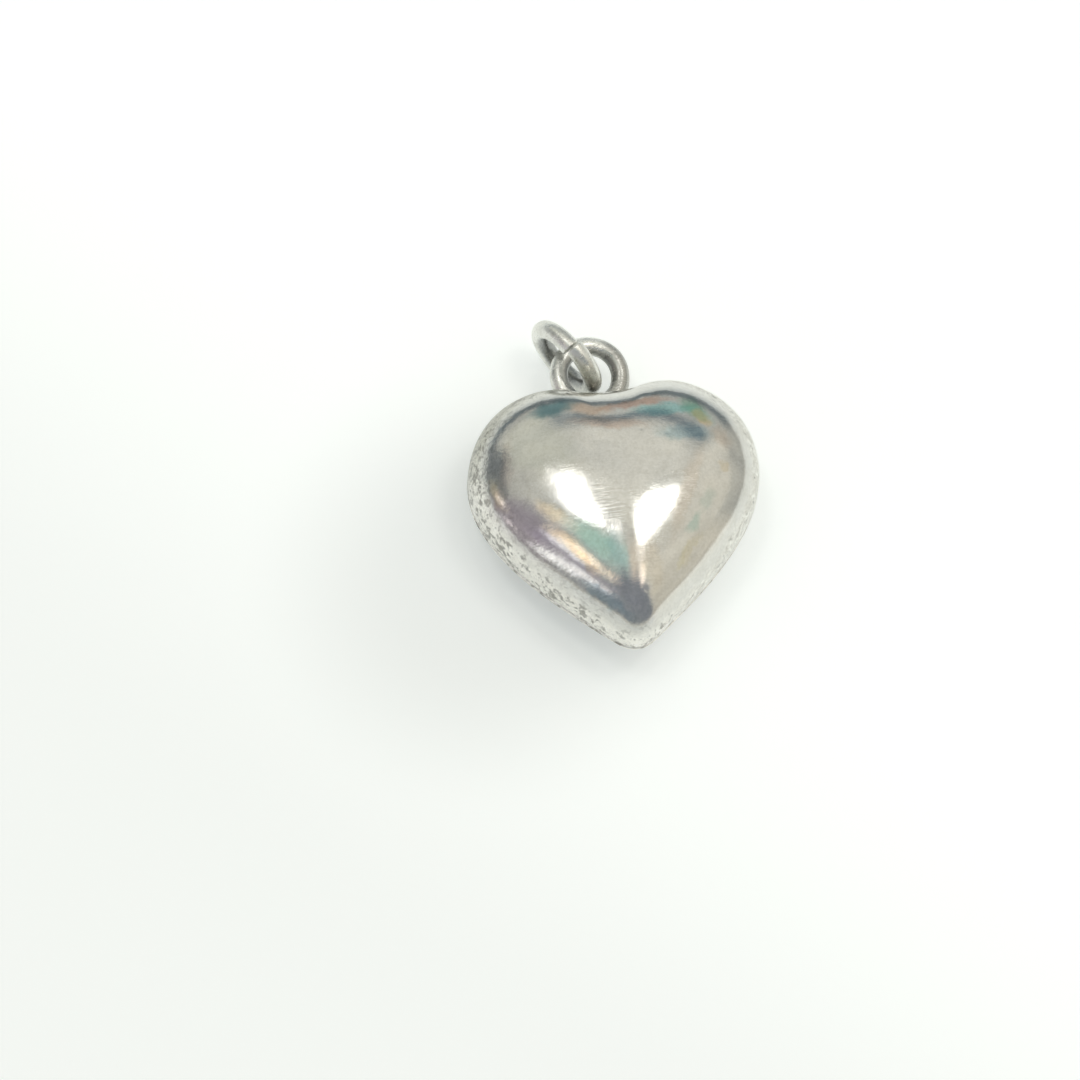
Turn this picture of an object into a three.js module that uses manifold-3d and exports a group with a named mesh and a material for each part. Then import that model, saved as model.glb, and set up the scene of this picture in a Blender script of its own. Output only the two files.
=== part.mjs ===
// A puffed heart pendant in silver: a high front shell and a shallow back shell soldered
// rim to rim, a closed wire eyelet soldered in the notch, and a split jump ring through it.
// Millimetres, +Z up. The pendant lies on its domed back, with the eyelet towards +Y.

import * as THREE from 'three';
import { mergeVertices } from 'three/addons/utils/BufferGeometryUtils.js';
import Module from 'manifold-3d';

// Heart outline in its own plane: x across, y from the widest line towards the eyelet
const HEART_WIDTH = 20.0;
const LOBE_RISE = 6.55;
const LOBE_OFFSET = 4.35;
const NOTCH_DEPTH = 0.7;
const TIP_DROP = 12.35;
const TIP_RADIUS = 1.8;
const TIP_HALF_ANGLE = 50.2;
// How far each curve runs straight on from its end before it bends
const NOTCH_REACH = 2.75;
const LOBE_INNER_REACH = 2.3;
const LOBE_OUTER_REACH = 1.6;
const SHOULDER_REACH = 4.95;
const FLANK_REACH = 4.35;
const TIP_REACH = 5.0;

// Half shells
const FRONT_DOME_HEIGHT = 5.8;
const FRONT_FULLNESS = 2.95;
const FRONT_CROWN_BELOW_WIDEST = 0.5;
const FRONT_CROWN_RADIUS = 6.0;
const BACK_DOME_HEIGHT = 2.8;
const BACK_FULLNESS = 2.05;
const BACK_CROWN_BELOW_WIDEST = 2.4;
const BACK_CROWN_RADIUS = 9.2;
const CROWN_SOFTNESS = 1.3;
const SHEET = 0.4;
const SEAM_THICKNESS = 0.16;
const SEAM_RECESS = 0.04;
const VENT_DIAMETER = 0.7;
const VENT_ABOVE_WIDEST = 4.2;

// Eyelet, bent a little up and to one side, and its solder
const EYELET_OUTER_DIAMETER = 5.6;
const EYELET_WIRE = 1.28;
const EYELET_OFFSET = -0.56;
const EYELET_SINK = 0.4;
const EYELET_TILT = 8;
const EYELET_TWIST = 5;
const SOLDER_LENGTH = 6.1;
const SOLDER_WIDTH = 2.3;
const SOLDER_RISE = 0.85;

// Jump ring: it stands on edge, square to the eyelet's wire, left of the heart's axis
const RING_OUTER_DIAMETER = 6.31;
const RING_WIRE = 1.3;
const RING_PLACE_ANGLE = 49.4;
const RING_FACE_ANGLE = 37.7;
const RING_INWARD = 0.21;
const RING_SPLIT = 0.12;
const RING_SPLIT_ANGLE = 8;

// Small gap that keeps soldered pieces apart as separate solids
const SOLDER_GAP = 0.02;
// How far the eyelet end of the pendant lies lower than level, in degrees
const REST_TILT = 3.5;

// Facets: the outline's steps are for its four curves, from the notch to the tip
const OUTLINE_STEPS = [5, 8, 12, 4];
const DOME_RINGS = 12;
const WIRE_SIDES = 14;
const RING_STEPS = 45;
const BEAD_STEPS = 28;
const BEAD_SIDES = 16;
const WELD_TOLERANCE = 1e-4;

const wasm = await Module();
wasm.setup();

const radians = THREE.MathUtils.degToRad;
const eyeletRadius = (EYELET_OUTER_DIAMETER - EYELET_WIRE) / 2;
const notchHeight = LOBE_RISE - NOTCH_DEPTH;
const eyeletFoot = new THREE.Vector3(
  EYELET_OFFSET, notchHeight - EYELET_SINK + EYELET_WIRE / 2, 0);
const eyeletPlace = new THREE.Matrix4().makeTranslation(eyeletFoot)
  .multiply(new THREE.Matrix4().makeRotationX(radians(EYELET_TILT)))
  .multiply(new THREE.Matrix4().makeRotationY(radians(EYELET_TWIST)))
  .multiply(new THREE.Matrix4().makeTranslation(0, eyeletRadius, 0));
const seamHalf = SEAM_THICKNESS / 2;
const FRONT_FORM = {
  height: FRONT_DOME_HEIGHT,
  fullness: FRONT_FULLNESS,
  crown: new THREE.Vector2(0, -FRONT_CROWN_BELOW_WIDEST),
  radius: FRONT_CROWN_RADIUS,
};
const BACK_FORM = {
  height: BACK_DOME_HEIGHT,
  fullness: BACK_FULLNESS,
  crown: new THREE.Vector2(0, -BACK_CROWN_BELOW_WIDEST),
  radius: BACK_CROWN_RADIUS,
};

// Merged, position-only copy of a geometry
function weld(geometry) {
  const plain = geometry.clone();
  plain.deleteAttribute('normal');
  plain.deleteAttribute('uv');
  return mergeVertices(plain, WELD_TOLERANCE);
}

function toSolid(geometry) {
  const welded = weld(geometry);
  return new wasm.Manifold(new wasm.Mesh({
    numProp: 3,
    vertProperties: new Float32Array(welded.attributes.position.array),
    triVerts: new Uint32Array(welded.index.array),
  }));
}

function toGeometry(solid) {
  const mesh = solid.getMesh();
  const geometry = new THREE.BufferGeometry();
  geometry.setAttribute('position', new THREE.BufferAttribute(mesh.vertProperties, 3));
  geometry.setIndex(new THREE.BufferAttribute(mesh.triVerts, 1));
  return geometry;
}

// The right half of the outline, from the notch over the lobe and down the side to the tip
function rightHalf() {
  const halfWidth = HEART_WIDTH / 2;
  const notch = new THREE.Vector2(0, notchHeight);
  const lobe = new THREE.Vector2(LOBE_OFFSET, LOBE_RISE);
  const widest = new THREE.Vector2(halfWidth, 0);
  const tipCentre = new THREE.Vector2(0, TIP_RADIUS - TIP_DROP);
  const leave = radians(TIP_HALF_ANGLE);
  const flank = new THREE.Vector2(Math.sin(leave), Math.cos(leave));
  const tipStart = new THREE.Vector2(flank.y, -flank.x).multiplyScalar(TIP_RADIUS).add(tipCentre);
  const curves = [
    new THREE.CubicBezierCurve(
      notch, new THREE.Vector2(NOTCH_REACH, notch.y),
      new THREE.Vector2(lobe.x - LOBE_INNER_REACH, lobe.y), lobe),
    new THREE.CubicBezierCurve(
      lobe, new THREE.Vector2(lobe.x + LOBE_OUTER_REACH, lobe.y),
      new THREE.Vector2(widest.x, SHOULDER_REACH), widest),
    new THREE.CubicBezierCurve(
      widest, new THREE.Vector2(widest.x, -FLANK_REACH),
      tipStart.clone().addScaledVector(flank, TIP_REACH), tipStart),
    new THREE.EllipseCurve(
      tipCentre.x, tipCentre.y, TIP_RADIUS, TIP_RADIUS, -leave, -Math.PI / 2, true),
  ];
  const points = [notch];
  curves.forEach((curve, i) => points.push(...curve.getSpacedPoints(OUTLINE_STEPS[i]).slice(1)));
  return points;
}

// The whole outline, clockwise from the notch, moved outwards by grow
function heartOutline(grow = 0) {
  const right = rightHalf();
  const left = right.slice(1, -1).reverse().map((p) => new THREE.Vector2(-p.x, p.y));
  const points = [...right, ...left];
  return points.map((point, i) => {
    const before = points[(i + points.length - 1) % points.length];
    const after = points[(i + 1) % points.length];
    const along = after.clone().sub(before).normalize();
    return new THREE.Vector2(point.x - along.y * grow, point.y + along.x * grow);
  });
}

// Rings of a dome, from its rim up: each ring is the outline drawn in towards the crown,
// rounder the higher it lies. The crown itself is the one point that comes last.
function domeRings(form, grow, foot) {
  const { height: rise, fullness, crown, radius } = form;
  const outline = heartOutline(grow);
  const rings = [];
  for (let k = 0; k < DOME_RINGS; k += 1) {
    const lean = (1 - k / DOME_RINGS) * Math.PI / 2;
    const share = Math.sin(lean) ** (2 / fullness);
    const height = Math.cos(lean) ** (2 / fullness) * (rise + grow);
    rings.push(outline.map((point) => {
      const arm = point.clone().sub(crown);
      const own = share ** CROWN_SOFTNESS;
      const reach = arm.length() * own + (radius + grow) * (1 - own);
      arm.setLength(reach * share).add(crown);
      return new THREE.Vector3(arm.x, arm.y, foot + height);
    }));
  }
  rings.push([new THREE.Vector3(crown.x, crown.y, foot + rise + grow)]);
  return rings;
}

// Closed solid over a row of rings, each joined to the next, single points closing its ends.
// side = -1 mirrors it through the seam plane.
function solidFromRings(rings, side = 1) {
  const positions = [];
  const starts = rings.map((ring) => {
    const start = positions.length / 3;
    ring.forEach((p) => positions.push(p.x, p.y, p.z * side));
    return start;
  });
  const indices = [];
  const face = (a, b, c) => (side > 0 ? indices.push(a, b, c) : indices.push(a, c, b));
  for (let r = 0; r + 1 < rings.length; r += 1) {
    const low = rings[r];
    const high = rings[r + 1];
    const count = Math.max(low.length, high.length);
    for (let i = 0; i < count; i += 1) {
      const next = (i + 1) % count;
      const a = starts[r] + (low.length > 1 ? i : 0);
      const b = starts[r] + (low.length > 1 ? next : 0);
      const c = starts[r + 1] + (high.length > 1 ? next : 0);
      const d = starts[r + 1] + (high.length > 1 ? i : 0);
      if (low.length > 1) face(a, c, b);
      if (high.length > 1) face(a, d, c);
    }
  }
  const geometry = new THREE.BufferGeometry();
  geometry.setAttribute('position', new THREE.Float32BufferAttribute(positions, 3));
  geometry.setIndex(indices);
  return geometry;
}

// One hollow half: down the inside from the crown to the rim, and up the outside to the crown
function halfShell(form, side) {
  const foot = seamHalf + SOLDER_GAP;
  const inner = domeRings(form, -SHEET, foot).reverse();
  return toSolid(solidFromRings([...inner, ...domeRings(form, 0, foot)], side));
}

// The eyelet's torus, its wire thicker all round by grow
function eyeletTorus(grow = 0) {
  const profile = [];
  for (let i = 0; i <= WIRE_SIDES; i += 1) {
    const angle = (i / WIRE_SIDES) * Math.PI * 2;
    const reach = EYELET_WIRE / 2 + grow;
    profile.push(new THREE.Vector2(
      eyeletRadius + Math.cos(angle) * reach, Math.sin(angle) * reach));
  }
  const geometry = new THREE.LatheGeometry(profile, RING_STEPS);
  geometry.rotateX(Math.PI / 2);
  geometry.applyMatrix4(eyeletPlace);
  return geometry;
}

// Seat that the eyelet leaves in the shells, the seam and its solder
const eyeletSeat = toSolid(eyeletTorus(SOLDER_GAP));

function frontShell() {
  return toGeometry(halfShell(FRONT_FORM, 1).subtract(eyeletSeat));
}

// The back half has the small vent that lets the hot air out while the halves are soldered
function backShell() {
  const vent = new THREE.CylinderGeometry(
    VENT_DIAMETER / 2, VENT_DIAMETER / 2, BACK_DOME_HEIGHT, WIRE_SIDES);
  vent.rotateX(Math.PI / 2);
  vent.translate(0, VENT_ABOVE_WIDEST, -BACK_DOME_HEIGHT / 2 - 2 * SHEET);
  return toGeometry(halfShell(BACK_FORM, -1).subtract(eyeletSeat).subtract(toSolid(vent)));
}

// The solder line between the two rims, a little under flush
function seamSolder() {
  const level = (grow, z) => heartOutline(grow).map((p) => new THREE.Vector3(p.x, p.y, z));
  const outside = -SEAM_RECESS;
  const inside = -SHEET;
  const rings = [
    level(inside, -seamHalf), level(outside, -seamHalf),
    level(outside, seamHalf), level(inside, seamHalf), level(inside, -seamHalf),
  ];
  return toGeometry(toSolid(solidFromRings(rings)).subtract(eyeletSeat));
}

// A low fillet of solder round the eyelet's foot, fitted to the heart and the wire
function eyeletSolder() {
  const bead = new THREE.SphereGeometry(1, BEAD_STEPS, BEAD_SIDES);
  bead.scale(SOLDER_LENGTH / 2, SOLDER_RISE, SOLDER_WIDTH / 2);
  bead.translate(EYELET_OFFSET, notchHeight, 0);
  const front = fullHalf(FRONT_FORM, 1);
  const back = fullHalf(BACK_FORM, -1);
  return toGeometry(toSolid(bead).subtract(front).subtract(back).subtract(eyeletSeat));
}

// A heart half without its hollow, a little larger all round, from just past the seam plane
function fullHalf(form, side) {
  const level = -SEAM_THICKNESS;
  const outline = heartOutline(SOLDER_GAP).map((p) => new THREE.Vector3(p.x, p.y, level));
  const foot = [[new THREE.Vector3(0, 0, level)], outline];
  return toSolid(solidFromRings([...foot, ...domeRings(form, SOLDER_GAP, seamHalf)], side));
}

// Centreline of the jump ring, open by the split
class RingLine extends THREE.Curve {
  getPoint(t, target = new THREE.Vector3()) {
    const radius = (RING_OUTER_DIAMETER - RING_WIRE) / 2;
    const gap = RING_SPLIT / radius;
    const angle = gap / 2 + t * (Math.PI * 2 - gap);
    return target.set(Math.cos(angle) * radius, Math.sin(angle) * radius, 0);
  }
}

// The jump ring about its own centre, in its own XY plane, split towards +X
function jumpRing() {
  const section = new THREE.Shape();
  section.absarc(0, 0, RING_WIRE / 2, 0, Math.PI * 2);
  return new THREE.ExtrudeGeometry(section, {
    extrudePath: new RingLine(),
    steps: RING_STEPS,
    curveSegments: WIRE_SIDES / 2,
  });
}

const silver = (color, roughness) => new THREE.MeshStandardMaterial(
  { color, roughness, metalness: 1 });

function piece(name, geometry, material) {
  const mesh = new THREE.Mesh(weld(geometry), material);
  mesh.name = name;
  return mesh;
}

// Everything fixed to the heart, in the heart's own frame
const heart = new THREE.Group();
heart.add(
  piece('front_shell', frontShell(), silver(0xb9b4ac, 0.22)),
  piece('back_shell', backShell(), silver(0xb4b0a9, 0.3)),
  piece('seam_solder', seamSolder(), silver(0x8d8a84, 0.45)),
  piece('eyelet', eyeletTorus(), silver(0xa7a49d, 0.3)),
  piece('eyelet_solder', eyeletSolder(), silver(0x94918a, 0.5)),
);
heart.rotation.x = radians(-REST_TILT);

// The jump ring stands on the surface the heart lies on, the eyelet's wire through its hole
function standingRing() {
  const floor = new THREE.Box3().setFromObject(heart, true).min.z;
  const place = radians(RING_PLACE_ANGLE);
  const face = radians(RING_FACE_ANGLE);
  const centre = new THREE.Vector3(-Math.sin(place), Math.cos(place), 0)
    .multiplyScalar(eyeletRadius - RING_INWARD).applyMatrix4(eyeletPlace)
    .applyEuler(heart.rotation);
  const axis = new THREE.Vector3(Math.cos(face), Math.sin(face), 0).applyEuler(heart.rotation);
  const up = new THREE.Vector3(0, 0, 1).addScaledVector(axis, -axis.z).normalize();
  const across = new THREE.Vector3().crossVectors(axis, up);
  const mesh = piece('jump_ring', jumpRing(), silver(0x9f9c95, 0.28));
  mesh.quaternion.setFromRotationMatrix(new THREE.Matrix4().makeBasis(up, across, axis));
  mesh.rotateZ(radians(RING_SPLIT_ANGLE));
  mesh.position.copy(centre);
  mesh.position.z += floor - new THREE.Box3().setFromObject(mesh, true).min.z;
  return mesh;
}

// The pendant stands on z = 0, centred over the origin
const pendant = new THREE.Group();
pendant.add(heart, standingRing());
pendant.updateMatrixWorld(true);
const box = new THREE.Box3().setFromObject(pendant, true);
const middle = box.getCenter(new THREE.Vector3());
pendant.position.set(-middle.x, -middle.y, -box.min.z);

export default pendant;
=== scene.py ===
"""A tarnished silver puffed heart pendant with its eyelet and jump ring, lying on a glossy white table.

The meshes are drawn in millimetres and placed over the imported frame. In the heart's own frame x runs
across it, y from its widest line to the eyelet, and z through its two domes. The jump ring has its own.
"""

from math import cos, pi, radians, sin, sqrt

import bpy
import numpy as np
from mathutils import Matrix, Vector


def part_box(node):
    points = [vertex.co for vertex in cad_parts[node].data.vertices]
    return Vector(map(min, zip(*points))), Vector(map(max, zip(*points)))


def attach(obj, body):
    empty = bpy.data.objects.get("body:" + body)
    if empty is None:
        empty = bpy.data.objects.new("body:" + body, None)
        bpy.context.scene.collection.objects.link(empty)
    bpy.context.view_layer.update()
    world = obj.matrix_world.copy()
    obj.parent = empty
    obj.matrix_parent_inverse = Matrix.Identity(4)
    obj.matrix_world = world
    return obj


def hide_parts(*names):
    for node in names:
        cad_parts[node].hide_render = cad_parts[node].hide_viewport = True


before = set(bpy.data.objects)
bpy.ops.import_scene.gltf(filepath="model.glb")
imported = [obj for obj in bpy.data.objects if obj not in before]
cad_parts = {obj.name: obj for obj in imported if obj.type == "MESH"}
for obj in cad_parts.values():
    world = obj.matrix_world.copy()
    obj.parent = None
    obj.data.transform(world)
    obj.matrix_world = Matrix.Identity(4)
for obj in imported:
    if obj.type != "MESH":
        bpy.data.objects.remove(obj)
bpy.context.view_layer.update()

MM = 0.001

# Sizes are in millimetres and angles in degrees, unless a name or comment says otherwise

# Heart outline
HEART_WIDTH = 20.0
LOBE_RISE = 6.55
LOBE_OFFSET = 4.35
NOTCH_DEPTH = 0.7
TIP_DROP = 12.35
TIP_RADIUS = 1.8
TIP_HALF_ANGLE = 50.2
NOTCH_REACH = 2.75
LOBE_INNER_REACH = 2.3
LOBE_OUTER_REACH = 1.6
SHOULDER_REACH = 4.95
FLANK_REACH = 4.35
TIP_REACH = 5.0
NOTCH_STEPS = 150
SHOULDER_STEPS = 200
FLANK_STEPS = 300
TIP_STEPS = 60
OUTLINE_POINTS = 480
OUTLINE_SOFTNESS = 0.028

# Half shells
FRONT_DOME_HEIGHT = 5.8
FRONT_FULLNESS = 2.95
FRONT_CROWN_BELOW_WIDEST = 0.5
FRONT_CROWN_RADIUS = 6.0
BACK_DOME_HEIGHT = 2.8
BACK_FULLNESS = 2.05
BACK_CROWN_BELOW_WIDEST = 2.4
BACK_CROWN_RADIUS = 9.2
CROWN_SOFTNESS = 1.3
SHEET = 0.4
SEAM_HALF = 0.1
RIM_FILLET = 0.07
DOME_RINGS = 110
LINING_RINGS = 30
LINING_START = 0.05
FILLET_RINGS = 5
CROWN_CROWDING = 0.7
LAST_LEAN = 0.003
SHARP_ANGLE = 50

# Vent hole of the back, and the cutter's two ends as shares of the back dome's height
VENT_DIAMETER = 0.7
VENT_ABOVE_WIDEST = 4.2
VENT_STEPS = 48
VENT_CUTTER_ENDS = (1.3, 0.3)

# Section of the seam's solder: height as a share of SEAM_HALF, and inset from the outline
SEAM_PROFILE = [
    (-1.0, SHEET),
    (-1.0, 0.05),
    (-0.6, 0.075),
    (0, 0.085),
    (0.6, 0.075),
    (1.0, 0.05),
    (1.0, SHEET),
]

# Eyelet and its solder, which stays a little inside the CAD solder's height
EYELET_OUTER_DIAMETER = 5.6
EYELET_WIRE = 1.28
EYELET_OFFSET = -0.56
EYELET_SINK = 0.4
EYELET_TILT = 8
EYELET_TWIST = 5
EYELET_STEPS = 200
EYELET_SIDES = 48
SOLDER_LENGTH = 6.1
SOLDER_WIDTH = 2.3
SOLDER_RISE = 0.85
SOLDER_RISE_SHARE = 0.97
SOLDER_STEPS = 96
SOLDER_RINGS = 50

# Jump ring: how it stands, where RING_LEAN is beyond the CAD ring's own slant, and how far its cut ends
# stand out of line, sideways and outwards
RING_OUTER_DIAMETER = 6.31
RING_WIRE = 1.3
RING_PLACE_ANGLE = 49.4
RING_FACE_ANGLE = 37.7
RING_INWARD = 0.21
RING_SPLIT = 0.12
RING_SPLIT_ANGLE = 8
RING_LEAN = 3.5
RING_STEPS = 180
RING_SIDES = 40
RING_END_SLIP = 0.07
RING_END_SPRING = 0.05
RING_END_BEVEL = 0.09
BEVEL_RINGS = 5

# Angles in radians: how far along the ring its ends bend away, where the bevel of an end starts on its
# quarter circle, and the step along the ring from it to the plain wire
RING_END_SPREAD = 0.55
BEVEL_START = 0.3
BEVEL_MARGIN = 0.02

# The heart lies on its shallow back, tilted about x
REST_TILT = 3.5

# Unevenness of each surface: height, wavelength and number of waves of each ripple. The waves' lengths
# vary between the two shares of WAVE_SPREAD. The sheet's ripples fade towards its rim, within
# SHEET_RIPPLE_FADE of it, and the solder's heights are shares of the distance from its middle
WAVE_SPREAD = (0.7, 1.5)
SHEET_RIPPLES = [(0.011, 5.0, 40), (0.0022, 1.3, 60)]
SHEET_RIPPLE_FADE = 0.6
SEAM_RIPPLES = [(0.012, 2.0, 30)]
WIRE_RIPPLES = [(0.012, 2.2, 30), (0.004, 0.7, 40)]
SOLDER_RIPPLES = [(0.025, 1.1, 40)]
FRONT_SEED = 3
BACK_SEED = 8
SEAM_SEED = 11
SOLDER_SEED = 21
EYELET_SEED = 31

# Small dings of the front dome: x, y, width and depth
FRONT_DINGS = [
    (2.1, 3.6, 0.28, 0.020),
    (1.7, 1.3, 0.22, 0.012),
    (3.4, 0.9, 0.30, 0.014),
    (6.1, 2.0, 0.35, 0.012),
    (-6.2, -1.2, 0.50, 0.012),
    (0.6, -9.9, 0.20, 0.020),
    (-1.9, 0.3, 0.60, 0.010),
]

# Camera: the photograph's view, its scale, and where the heart's origin falls in its square frame
PHOTO_PIXELS = 1080
VIEW_ELEVATION = 67.53
VIEW_AZIMUTH = 17.78
VIEW_ROLL = -11.41
PIXELS_PER_MM = 14.65
ORIGIN_PIXEL_X = 613.3
ORIGIN_PIXEL_Y = 484.65
CAMERA_METRES = 0.6
SENSOR_WIDTH = 36.0
CLIP_START_METRES = 0.01

# Two windows high over the table, LIGHT_METRES away: bearing from +y and elevation, width and height
# in metres, turn, radiance and colour. A square metre gives radiance 1 at AREA_LIGHT_WATTS
LIGHT_METRES = 1.1
AREA_LIGHT_WATTS = 4
SOFT_LIGHTS = {
    "left_window": (-49.5, 71.8, 0.19, 0.30, -8, 3.2, (1.0, 1.0, 1.0)),
    "right_window": (72.5, 68.0, 0.27, 0.23, -12, 3.2, (1.0, 1.0, 0.98)),
}

# White table, and the light that it adds for the camera and in mirror images. There is less of it
# towards the front left corner, and in a round shade at the pendant's lower left
FLOOR_METRES = 4.0
FLOOR_COLOUR = (0.91, 0.93, 0.92)
FLOOR_ROUGHNESS = 0.12
FLOOR_IOR = 1.45
FLOOR_GLOW = (0.955, 1.0, 0.985)
FLOOR_LIFT = 0.375
CORNER_REACH = (0.0, -50.0)
CORNER_SHADE = 0.30
SHADE_CENTRE = (-9.0, -5.0)
SHADE_RADII = (18.0, 5.0)
SHADE_STRENGTH = 0.35

notch_height = LOBE_RISE - NOTCH_DEPTH
ring_radius = (RING_OUTER_DIAMETER - RING_WIRE) / 2
eyelet_radius = (EYELET_OUTER_DIAMETER - EYELET_WIRE) / 2
eyelet_foot = Vector((EYELET_OFFSET, notch_height - EYELET_SINK + EYELET_WIRE / 2, 0))
eyelet_place = (Matrix.Translation(eyelet_foot * MM) @ Matrix.Rotation(radians(EYELET_TILT), 4, "X")
                @ Matrix.Rotation(radians(EYELET_TWIST), 4, "Y")
                @ Matrix.Translation(Vector((0, eyelet_radius * MM, 0))))

# The heart's frame in the part's frame: tilted about x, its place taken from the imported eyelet
tilt = Matrix.Rotation(radians(-REST_TILT), 4, "X")
low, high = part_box("eyelet")
heart_origin = (low + high) / 2 - tilt @ eyelet_place.translation
heart_frame = Matrix.Translation(heart_origin) @ tilt


def find_ring_frame():
    """Where the jump ring stands: on edge on the table, with the eyelet's wire through its hole."""
    place, face = radians(RING_PLACE_ANGLE), radians(RING_FACE_ANGLE)
    aside = Vector((-sin(place), cos(place), 0)) * (eyelet_radius - RING_INWARD)
    centre = heart_frame @ eyelet_place @ (aside * MM)
    axis = tilt.to_3x3() @ Vector((cos(face), sin(face), 0))
    up = (Vector((0, 0, 1)) - axis * axis.z).normalized()
    centre.z = (ring_radius * up.z + RING_WIRE / 2) * MM
    axes = Matrix((up, axis.cross(up), axis)).transposed().to_4x4()
    lean = Matrix.Rotation(radians(RING_LEAN), 4, "Y")
    return Matrix.Translation(centre) @ axes @ lean @ Matrix.Rotation(radians(RING_SPLIT_ANGLE), 4, "Z")


ring_frame = find_ring_frame()
piece_frames = {"heart": heart_frame, "ring": ring_frame}


def bezier(start, leave, arrive, end, count):
    """Points of a cubic curve from start to end, drawn towards its two handles."""
    t = np.linspace(0, 1, count)[:, None]
    return ((1 - t) ** 3 * start + 3 * (1 - t) ** 2 * t * leave
            + 3 * (1 - t) * t ** 2 * arrive + t ** 3 * end)


turn_angles = np.arange(OUTLINE_POINTS) * 2 * pi / OUTLINE_POINTS
turn_x = np.sin(turn_angles)
turn_y = np.cos(turn_angles)


def heart_reach(crown_below):
    """Distance from the crown to the outline, for OUTLINE_POINTS even directions, softened a little."""
    notch = np.array([0, notch_height])
    lobe = np.array([LOBE_OFFSET, LOBE_RISE])
    widest = np.array([HEART_WIDTH / 2, 0.0])
    tip_centre = np.array([0, TIP_RADIUS - TIP_DROP])
    leave = radians(TIP_HALF_ANGLE)
    flank = np.array([sin(leave), cos(leave)])
    tip_start = tip_centre + TIP_RADIUS * np.array([flank[1], -flank[0]])
    turn = np.linspace(-leave, -pi / 2, TIP_STEPS)[:, None]
    right = np.vstack([
        bezier(notch, np.array([NOTCH_REACH, notch[1]]), lobe - [LOBE_INNER_REACH, 0], lobe, NOTCH_STEPS),
        bezier(lobe, lobe + [LOBE_OUTER_REACH, 0], widest + [0, SHOULDER_REACH], widest, SHOULDER_STEPS)[1:],
        bezier(widest, widest - [0, FLANK_REACH], tip_start + flank * TIP_REACH, tip_start, FLANK_STEPS)[1:],
        (tip_centre + TIP_RADIUS * np.hstack([np.cos(turn), np.sin(turn)]))[1:],
    ])
    arms = right + [0, crown_below]
    angle = np.arctan2(arms[:, 0], arms[:, 1])
    reach = np.hypot(arms[:, 0], arms[:, 1])
    folded = np.minimum(turn_angles, 2 * pi - turn_angles)
    drawn = np.interp(folded, angle, reach)
    waves = np.fft.rfft(drawn)
    waves *= np.exp(-(np.arange(len(waves)) * OUTLINE_SOFTNESS) ** 2 / 2)
    return np.fft.irfft(waves, OUTLINE_POINTS)


class Dome:
    """One half of the heart: its height, fullness and crown, and its outline seen from the crown."""

    def __init__(self, height, fullness, crown_below, crown_radius):
        self.height = height
        self.fullness = fullness
        self.crown_below = crown_below
        self.crown_radius = crown_radius
        self.outline = heart_reach(crown_below)

    def level_ring(self, inset, height):
        """The outline at one height, moved inwards by the inset."""
        reach = self.outline - inset
        ring = np.empty((1, OUTLINE_POINTS, 3))
        ring[0, :, 0] = reach * turn_x
        ring[0, :, 1] = reach * turn_y - self.crown_below
        ring[0, :, 2] = height
        return ring

    def grid(self, grow, ring_count, first_height):
        """Rings from the rim up to just short of the crown."""
        first_lean = np.arccos((first_height / (self.height + grow)) ** (self.fullness / 2))
        lean = np.linspace(first_lean ** CROWN_CROWDING, LAST_LEAN ** CROWN_CROWDING, ring_count)
        lean = lean ** (1 / CROWN_CROWDING)
        share = np.sin(lean) ** (2 / self.fullness)
        height = np.cos(lean) ** (2 / self.fullness) * (self.height + grow) + SEAM_HALF
        own = share[:, None] ** CROWN_SOFTNESS
        reach = (self.outline + grow) * own + (self.crown_radius + grow) * (1 - own)
        reach = reach * share[:, None]
        grid = np.empty((ring_count, OUTLINE_POINTS, 3))
        grid[..., 0] = reach * turn_x
        grid[..., 1] = reach * turn_y - self.crown_below
        grid[..., 2] = height[:, None]
        return grid


FRONT_DOME = Dome(FRONT_DOME_HEIGHT, FRONT_FULLNESS, FRONT_CROWN_BELOW_WIDEST, FRONT_CROWN_RADIUS)
BACK_DOME = Dome(BACK_DOME_HEIGHT, BACK_FULLNESS, BACK_CROWN_BELOW_WIDEST, BACK_CROWN_RADIUS)


def ripple(points, wavelength, count, seed):
    """A smooth random height, about -1 to 1, over points in millimetres."""
    rng = np.random.default_rng(seed)
    total = np.zeros(points.shape[:-1])
    for _ in range(count):
        way = rng.normal(size=3)
        way *= 2 * pi / (wavelength * rng.uniform(*WAVE_SPREAD)) / np.linalg.norm(way)
        total += np.cos(points @ way + rng.uniform(0, 2 * pi))
    return total / sqrt(count)


def unevenness(points, ripples, seed):
    """The height of several ripples together, each with a seed of its own."""
    return sum(height * ripple(points, wavelength, count, seed + number)
               for number, (height, wavelength, count) in enumerate(ripples))


def grid_normals(grid):
    """Unit normals of a grid of points whose second index runs round a loop."""
    along = np.roll(grid, -1, 1) - np.roll(grid, 1, 1)
    normals = np.cross(along, np.gradient(grid, axis=0))
    length = np.linalg.norm(normals, axis=2, keepdims=True)
    return normals / np.maximum(length, np.finfo(float).tiny)


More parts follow.
